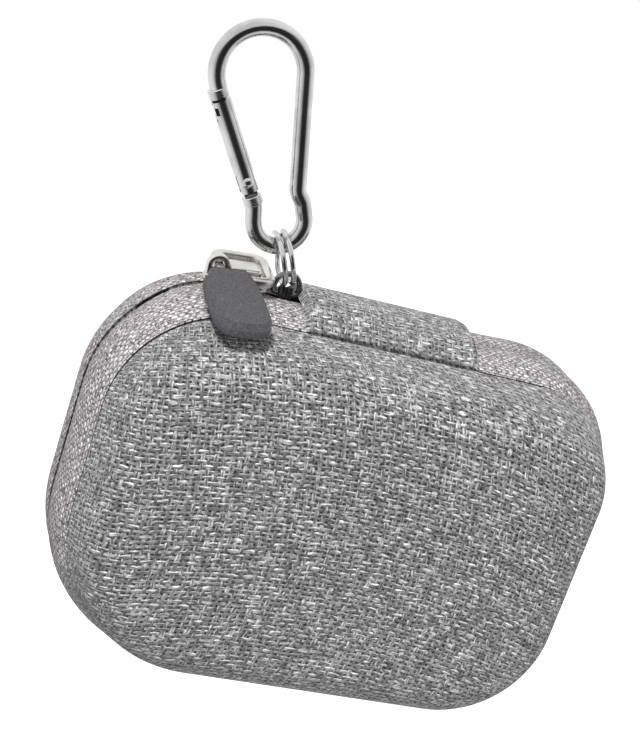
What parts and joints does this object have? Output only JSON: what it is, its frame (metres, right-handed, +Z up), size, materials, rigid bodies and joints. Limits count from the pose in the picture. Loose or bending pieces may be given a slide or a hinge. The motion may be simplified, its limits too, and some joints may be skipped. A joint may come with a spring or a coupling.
{
  "type": "earbud case cover",
  "caption": "Small hard zip case for earbuds, covered in heather grey fabric, with a rolled fabric hinge, a rubber zip pull, and a split ring and snap hook to hang it by.",
  "frame": {"origin": "inner top of the snap hook bend, where a strap or hook that carries the case bears", "axes": "+Z up as the case hangs, the flat front of the case facing -Y and its flat back facing +Y, with the hook flat in the XZ plane and its gate on the -X side"},
  "size_m": [0.0907, 0.0394, 0.1178],
  "materials": {
    "hook_steel": "satin nickel-plated steel",
    "ring_steel": "bright nickel-plated spring steel",
    "dark_steel": "dark glossy plated steel",
    "slider_metal": "satin plated zinc casting",
    "heather_fabric": "heather grey linen-look weave",
    "zip_tape": "taupe-grey woven tape",
    "teeth": "moulded zip teeth",
    "foam": "moulded closed-cell foam",
    "lining": "dark knitted lining",
    "webbing": "dark woven webbing",
    "tab_rubber": "matt grey moulded rubber"
  },
  "bodies": {
    "hook": {"hook_frame": "hook_steel", "latch_pin": "hook_steel"},
    "gate_arm": {"gate": "hook_steel", "gate_rivet": "hook_steel", "gate_plunger": "hook_steel", "gate_spring": "dark_steel"},
    "ring": {"split_ring": "ring_steel"},
    "dee": {"dee_ring": "dark_steel"},
    "back": {"dee_keeper": "webbing", "back_fabric": "heather_fabric", "back_shell": "foam", "back_lining": "lining", "back_binding": "lining", "back_tape": "zip_tape", "back_teeth": "teeth", "hinge_roll": "heather_fabric", "hinge_pad": "foam", "hinge_strap": "lining", "hinge_lining": "lining", "zip_stop": "slider_metal"},
    "lid": {"front_fabric": "heather_fabric", "front_shell": "foam", "front_lining": "lining", "front_binding": "lining", "front_tape": "zip_tape", "front_teeth": "teeth"},
    "slider": {"slider_body": "slider_metal"},
    "pull": {"pull_ring": "slider_metal"},
    "tab": {"pull_tab": "tab_rubber"}
  },
  "joints": [
    {"name": "gate_hinge", "type": "hinge", "parent": "hook", "child": "gate_arm", "pos_m": [-0.00417, 0, -0.02101], "axis": [0, 1, 0], "range_deg": [0, 28], "stiffness_Nm_per_rad": 0.002},
    {"name": "ring_swing", "type": "hinge", "parent": "hook", "child": "ring", "pos_m": [0, 0, -0.032], "axis": [1, 0, 0], "range_deg": [-40, 40]},
    {"name": "case_swing", "type": "hinge", "parent": "ring", "child": "dee", "pos_m": [0, 0, -0.03793], "axis": [0, 1, 0], "range_deg": [-10, 10]},
    {"name": "dee_pivot", "type": "hinge", "parent": "dee", "child": "back", "pos_m": [-0.00045, 0, -0.03967], "axis": [0.9121, 0, -0.4099], "range_deg": [0, 50]},
    {"name": "lid_open", "type": "hinge", "parent": "back", "child": "lid", "pos_m": [0.01465, 0, -0.04755], "axis": [-0.9121, 0, 0.4099], "range_deg": [0, 100], "deforming": ["back_tape", "front_tape", "back_teeth", "front_teeth", "hinge_roll", "hinge_pad", "hinge_strap", "hinge_lining"]},
    {"name": "slider_travel", "type": "hinge", "parent": "lid", "child": "slider", "pos_m": [-0.01473, 0, -0.05583], "axis": [0, -1, 0], "range_deg": [0, 75]},
    {"name": "pull_lift", "type": "hinge", "parent": "slider", "child": "pull", "pos_m": [-0.01006, 0, -0.03332], "axis": [0, -1, 0], "range_deg": [0, 8]},
    {"name": "tab_swing", "type": "hinge", "parent": "pull", "child": "tab", "pos_m": [-0.0066, -0.00468, -0.03496], "axis": [-0.9442, 0, 0.3293], "range_deg": [0, 28]}
  ],
  "couplings": [
    {"joint": "dee_pivot", "follows": "lid_open", "ratio": 0.5},
    {"joint": "slider_travel", "follows": "lid_open", "ratio": 0.75}
  ]
}
